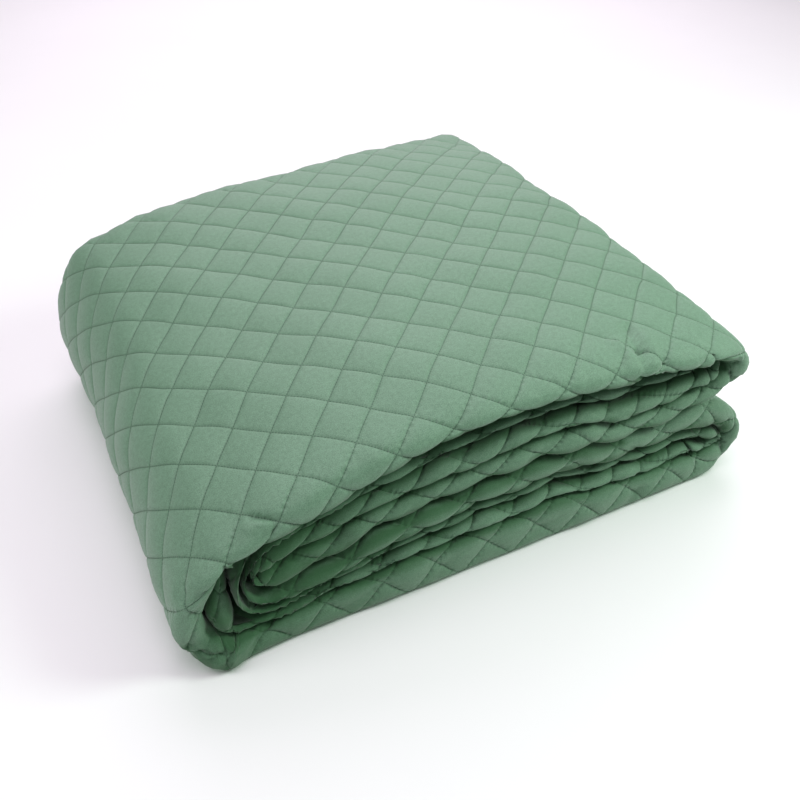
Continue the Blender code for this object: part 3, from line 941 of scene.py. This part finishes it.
class Finish:
    """A material and the nodes that make it."""

    def __init__(self, name):
        self.material = bpy.data.materials.new(name)
        self.material.use_nodes = True
        self.tree = self.material.node_tree
        self.shader = self.tree.nodes["Principled BSDF"]

    def node(self, kind, settings=None, inputs=None, output=0):
        node = self.tree.nodes.new(kind)
        for key, value in (settings or {}).items():
            setattr(node, key, value)
        for key, value in (inputs or {}).items():
            join(self.tree, node.inputs[key], value)
        return Wire(self.tree, node.outputs[output])

    def noise(self, scale, detail, **inputs):
        return self.node("ShaderNodeTexNoise", None, {"Scale": scale, "Detail": detail, **inputs})

    def ramp(self, value, start, end, low, high, kind="SMOOTHSTEP"):
        """low where value is start, passing to high where it is end."""
        return self.node("ShaderNodeMapRange", {"interpolation_type": kind}, {
            "Value": value, "From Min": start, "From Max": end, "To Min": low, "To Max": high})

    def fade(self, distance, reach):
        return self.ramp(distance, 0.0, reach, 1.0, 0.0)

    def set(self, **inputs):
        for name, value in inputs.items():
            join(self.tree, self.shader.inputs[name.replace("_", " ")], value)

    def mix(self, share, low, high):
        inputs = {0: share, 6: low, 7: high}
        return self.node("ShaderNodeMix", {"data_type": "RGBA"}, inputs, output=2)


STITCHES = 13  # along one side of a diamond
YARN = 0.0009
GATHERS, UNEVENNESS = 10.0, 14.0  # half waves of gathered cloth along a seam, and how far they wander
# how near its seams the cloth gets painted shadow, is pricked and is gathered: 0 is on the seam, and 1
# midway
SHADOW_REACH, NEEDLE_REACH, GATHER_REACH = 0.16, 0.07, 0.42
SHADOW, NEEDLE = 0.45, 0.85  # how dark that makes it
# how much of the gathers there is, from the first to the second place across the cloth
OUTER_GATHERS, INNER_GATHERS = (0.010, 0.050, 1.0, 0.15), (0.80, 0.86, 0.0, 1.0)
HEATHER_TINT, SLUB_TINT, CLOUD_TINT, WEAVE_TINT = 2.2, 1.1, 0.30, 0.04
# the relief of the cloth, in millimetres
WEAVE_RELIEF, HEATHER_RELIEF, SLUB_RELIEF, BENT_RELIEF, GATHER_RELIEF = 0.035, 0.12, 0.16, 1.6, 0.32
PAINTED_SHADE_SHARE = 0.84  # how much of the deep colour, as painted shade, the cloth takes on down in its folds
ROUGHNESS, SHELTERED_ROUGHNESS = 0.64, 0.35


def woven_cotton(colours):
    """Plain-woven cotton with a fine heather, with painted shadow down in the stitch lines and painted
    shade in its folds.
    """
    finish = Finish("quilted_cotton")
    uv = finish.node("ShaderNodeUVMap", {"uv_map": "cloth"})
    along, across = (finish.node("ShaderNodeSeparateXYZ", None, {0: uv}, output=k) for k in (0, 1))

    weave = (along * (2 * math.pi / YARN)).sine() * (across * (2 * math.pi / YARN)).sine()
    heather = finish.noise(1100.0, 1.0, Vector=uv, Roughness=0.6)
    slub = finish.noise(260.0, 3.0, Vector=uv, Roughness=0.65)
    cloud = finish.noise(9.0, 2.0, Vector=uv)

    u, v = (along + across) * (math.pi / DIAMOND), (along - across) * (math.pi / DIAMOND)
    near_u, near_v = u.sine().size(), v.sine().size()
    dots_u, dots_v = ((seam * (2.0 * STITCHES)).sine() * 0.5 + 0.5 for seam in (u, v))
    shadow = finish.fade(near_u.math("MINIMUM", near_v), SHADOW_REACH)
    needle = (finish.fade(near_u, NEEDLE_REACH) * dots_v).math(
        "MAXIMUM", finish.fade(near_v, NEEDLE_REACH) * dots_u)

    tint = ((heather - 0.5) * HEATHER_TINT + (slub - 0.5) * SLUB_TINT + (cloud - 0.5) * CLOUD_TINT
            + weave * WEAVE_TINT)
    share = (tint + 0.5).math("MINIMUM", 1.0).math("MAXIMUM", 0.0)
    body = finish.mix(share, tuple(colours.shade), tuple(colours.light))
    # painted shadow along the stitch lines, mixed towards the shade colour
    drawn = finish.mix(shadow * SHADOW, body, tuple(colours.shade))
    stitched = finish.mix(needle * NEEDLE, drawn, tuple(colours.seam))
    # painted shade from the mesh's attribute, mixed towards the deep colour
    painted_shade = finish.node("ShaderNodeAttribute", {"attribute_name": "painted_shade"}, output=2)
    colour = finish.mix(painted_shade * PAINTED_SHADE_SHARE, stitched, tuple(colours.deep))
    # along its seams the cloth is gathered, and more so at the front, where it is bent most
    uneven = finish.noise(48.0, 2.0, Vector=uv, Distortion=0.3)
    bent = finish.ramp(across, *OUTER_GATHERS).math(
        "MAXIMUM", finish.ramp(across, *INNER_GATHERS, "LINEAR"))
    shift = uneven * UNEVENNESS
    gathers = (finish.fade(near_u, GATHER_REACH) * (v * GATHERS + shift).sine()
               + finish.fade(near_v, GATHER_REACH) * (u * GATHERS + shift).sine())
    height = (weave * WEAVE_RELIEF + heather * HEATHER_RELIEF + slub * SLUB_RELIEF
              + bent * (uneven * BENT_RELIEF + gathers * GATHER_RELIEF)) * 0.001
    normal = finish.node("ShaderNodeBump", None, {"Strength": 1.0, "Distance": 1.0, "Height": height})
    finish.set(Base_Color=colour, Roughness=painted_shade * SHELTERED_ROUGHNESS + ROUGHNESS, Normal=normal,
               Specular_IOR_Level=1.0, Sheen_Weight=0.2, Sheen_Roughness=0.5,
               Sheen_Tint=(0.95, 0.95, 0.95, 1.0))
    return finish.material


def sewing_thread(colours):
    finish = Finish("sewing_thread")
    ply = finish.noise(1800.0, 1.0, Vector=finish.node("ShaderNodeTexCoord", output=3))
    finish.set(Base_Color=finish.mix(ply, tuple(colours.thread), tuple(colours.shade)), Roughness=0.7)
    return finish.material


# ---------- Settings ----------


def shade(name, description, default):
    return bpy.props.FloatVectorProperty(
        name=name, description=description, subtype="COLOR", size=4, min=0, max=1, default=default)


class QuiltSizes(bpy.types.PropertyGroup):
    puff_height: bpy.props.FloatProperty(
        name="Puff height", description="How far the middle of a diamond stands above its stitches",
        default=0.0026, min=0, unit="LENGTH")
    puff_softness: bpy.props.FloatProperty(
        name="Puff softness", description="Low values give a flat diamond with steep edges",
        default=0.42, min=0.1)
    thread_width: bpy.props.FloatProperty(
        name="Thread width", description="Thickness of the sewing thread",
        default=0.0006, min=0, unit="LENGTH")
    stitches_per_side: bpy.props.IntProperty(
        name="Stitches per side", description="Stitches along one side of a diamond",
        default=STITCHES, min=1)
    stitch_share: bpy.props.FloatProperty(
        name="Stitch share", description="How much of each stitch length lies on the face", default=0.68,
        min=0.1, max=1, subtype="FACTOR")


class QuiltColours(bpy.types.PropertyGroup):
    light: shade("Light", "Lighter yarns of the cloth", (0.152, 0.312, 0.190, 1.0))
    # shade is both the darker yarns and the painted shadow along the stitch lines
    shade: shade("Shade", "Darker yarns of the cloth", (0.070, 0.178, 0.094, 1.0))
    seam: shade("Seam", "The cloth down in a stitch line", (0.022, 0.070, 0.032, 1.0))
    # deep is painted shade, for the folds, the fronts under the cover and faces turned downwards
    deep: shade("Deep", "The cloth down in its folds", (0.006, 0.080, 0.013, 1.0))
    thread: shade("Thread", "The sewing thread", (0.035, 0.100, 0.050, 1.0))


class StageSettings(bpy.types.PropertyGroup):
    floor_size: bpy.props.FloatProperty(
        name="Floor size", description="Width of the pale floor", default=8.0, min=1, unit="LENGTH")
    brightness: bpy.props.FloatProperty(
        name="Brightness", description="Scales all the lamps", default=1.0, min=0)


# ---------- Operators ----------


def add_object(name, data):
    item = bpy.data.objects.new(name, data)
    bpy.context.scene.collection.objects.link(item)
    return item


def add_piece(name, mesh, material):
    mesh.materials.append(material)
    return add_object(name, mesh)


class BEDSPREAD_OT_sew_quilt(bpy.types.Operator):
    """Lay the quilted cloth on its folds"""

    bl_idname = "bedspread.sew_quilt"
    bl_label = "Sew Quilt"

    def execute(self, context):
        scene = context.scene
        quilt = Quilt(scene.quilt_sizes)
        piece = add_piece("quilt_cloth", quilt.mesh("quilt_cloth"), woven_cotton(scene.quilt_colours))
        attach(piece, "root")
        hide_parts("bedspread")
        return {"FINISHED"}


class BEDSPREAD_OT_sew_stitches(bpy.types.Operator):
    """Sew the running stitches along the diamonds"""

    bl_idname = "bedspread.sew_stitches"
    bl_label = "Sew Stitches"

    def execute(self, context):
        scene = context.scene
        stitching = Stitching(Quilt(scene.quilt_sizes), scene.quilt_sizes)
        thread = sewing_thread(scene.quilt_colours)
        for lean in ("left", "right"):
            name = f"stitches_{lean}"
            piece = add_piece(name, stitching.mesh(name, lean), thread)
            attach(piece, "root")
        return {"FINISHED"}


CAMERA_PLACE = (-0.0349, -0.4544, 0.5797)  # in the x and depth of the tables
CAMERA_AZIMUTH, CAMERA_ELEVATION = math.radians(-27.84), math.radians(36.15)
CAMERA_ROLL = math.radians(0.77)
CAMERA_LENS, CAMERA_SENSOR = 41.27, 36.0


def add_camera():
    data = bpy.data.cameras.new("camera")
    data.lens, data.sensor_width = CAMERA_LENS, CAMERA_SENSOR
    camera = add_object("camera", data)
    x, depth, z = CAMERA_PLACE
    stand = Matrix.Translation((x - ORIGIN_X, depth - ORIGIN_DEPTH, z))
    tilt = math.pi / 2 - CAMERA_ELEVATION
    for angle, axis in ((CAMERA_AZIMUTH, "Z"), (tilt, "X"), (CAMERA_ROLL, "Z")):
        stand = stand @ Matrix.Rotation(angle, 4, axis)
    camera.matrix_world = stand
    bpy.context.scene.camera = camera


Lamp = namedtuple("Lamp", "name place power size colour")
LAMPS = (
    Lamp("key_lamp", (0.75, 1.55, 1.5), 34.0, 2.4, (1.0, 0.86, 1.0)),
    Lamp("top_lamp", (-0.6, -0.4, 2.2), 29.0, 1.8, (1.0, 0.86, 1.0)),
    Lamp("front_lamp", (1.1, -0.7, 1.0), 13.0, 0.5, (0.84, 1.0, 0.87)),
    Lamp("left_lamp", (-1.7, 0.1, 1.3), 6.0, 0.8, (0.86, 1.0, 0.88)),
)
AIM = (0.0, 0.0, 0.08)
WORLD_COLOUR, WORLD_STRENGTH = (0.90, 1.0, 0.93, 1.0), 0.19
FLOOR_COLOURS = (0.91, 0.92, 0.91, 1.0), (0.94, 0.95, 0.94, 1.0)
FLOOR_DROP = 0.0002  # so that the floor and the base don't share a plane


class BEDSPREAD_OT_set_stage(bpy.types.Operator):
    """Set out the floor, the lamps and the camera"""

    bl_idname = "bedspread.set_stage"
    bl_label = "Set Stage"

    def execute(self, context):
        settings = context.scene.stage_settings
        bpy.ops.object.select_all(action="DESELECT")
        bpy.ops.mesh.primitive_plane_add(
            size=settings.floor_size, location=(0, 0, CAD_BOX[0][2] - FLOOR_DROP))
        floor = context.object
        floor.name = "floor"
        paint = Finish("pale_floor")
        paint.set(Base_Color=paint.mix(paint.noise(30.0, 2.0), *FLOOR_COLOURS), Roughness=0.8)
        floor.data.materials.append(paint.material)
        for lamp in LAMPS:
            data = bpy.data.lights.new(lamp.name, "AREA")
            data.energy, data.size = lamp.power * settings.brightness, lamp.size
            data.color = lamp.colour
            light = add_object(lamp.name, data)
            light.location = lamp.place
            aim = Vector(AIM) - Vector(lamp.place)
            light.rotation_euler = aim.to_track_quat("-Z", "Y").to_euler()
        world = bpy.data.worlds.new("studio")
        world.use_nodes = True
        background = world.node_tree.nodes["Background"]
        background.inputs["Color"].default_value = WORLD_COLOUR
        background.inputs["Strength"].default_value = WORLD_STRENGTH
        context.scene.world = world
        context.scene.view_settings.view_transform = "Standard"
        add_camera()
        return {"FINISHED"}


class BEDSPREAD_PT_pieces(bpy.types.Panel):
    """The pieces of the bedspread"""

    bl_label = "Bedspread"
    bl_idname = "BEDSPREAD_PT_pieces"
    bl_space_type = "VIEW_3D"
    bl_region_type = "UI"
    bl_category = "Bedspread"

    def draw(self, context):
        for group in ("quilt_sizes", "quilt_colours", "stage_settings"):
            settings = getattr(context.scene, group)
            box = self.layout.box()
            for name in settings.__annotations__:
                box.prop(settings, name)
        for operator in OPERATORS:
            self.layout.operator(operator.bl_idname)


GROUPS = {"quilt_sizes": QuiltSizes, "quilt_colours": QuiltColours, "stage_settings": StageSettings}
OPERATORS = (BEDSPREAD_OT_sew_quilt, BEDSPREAD_OT_sew_stitches, BEDSPREAD_OT_set_stage)
CLASSES = (*GROUPS.values(), *OPERATORS, BEDSPREAD_PT_pieces)


def register():
    for item in CLASSES:
        bpy.utils.register_class(item)
    for name, group in GROUPS.items():
        setattr(bpy.types.Scene, name, bpy.props.PointerProperty(type=group))


def unregister():
    for name in GROUPS:
        delattr(bpy.types.Scene, name)
    for item in reversed(CLASSES):
        bpy.utils.unregister_class(item)


def main():
    register()
    bpy.ops.bedspread.sew_quilt()
    bpy.ops.bedspread.sew_stitches()
    bpy.ops.bedspread.set_stage()


if __name__ == "__main__":
    main()
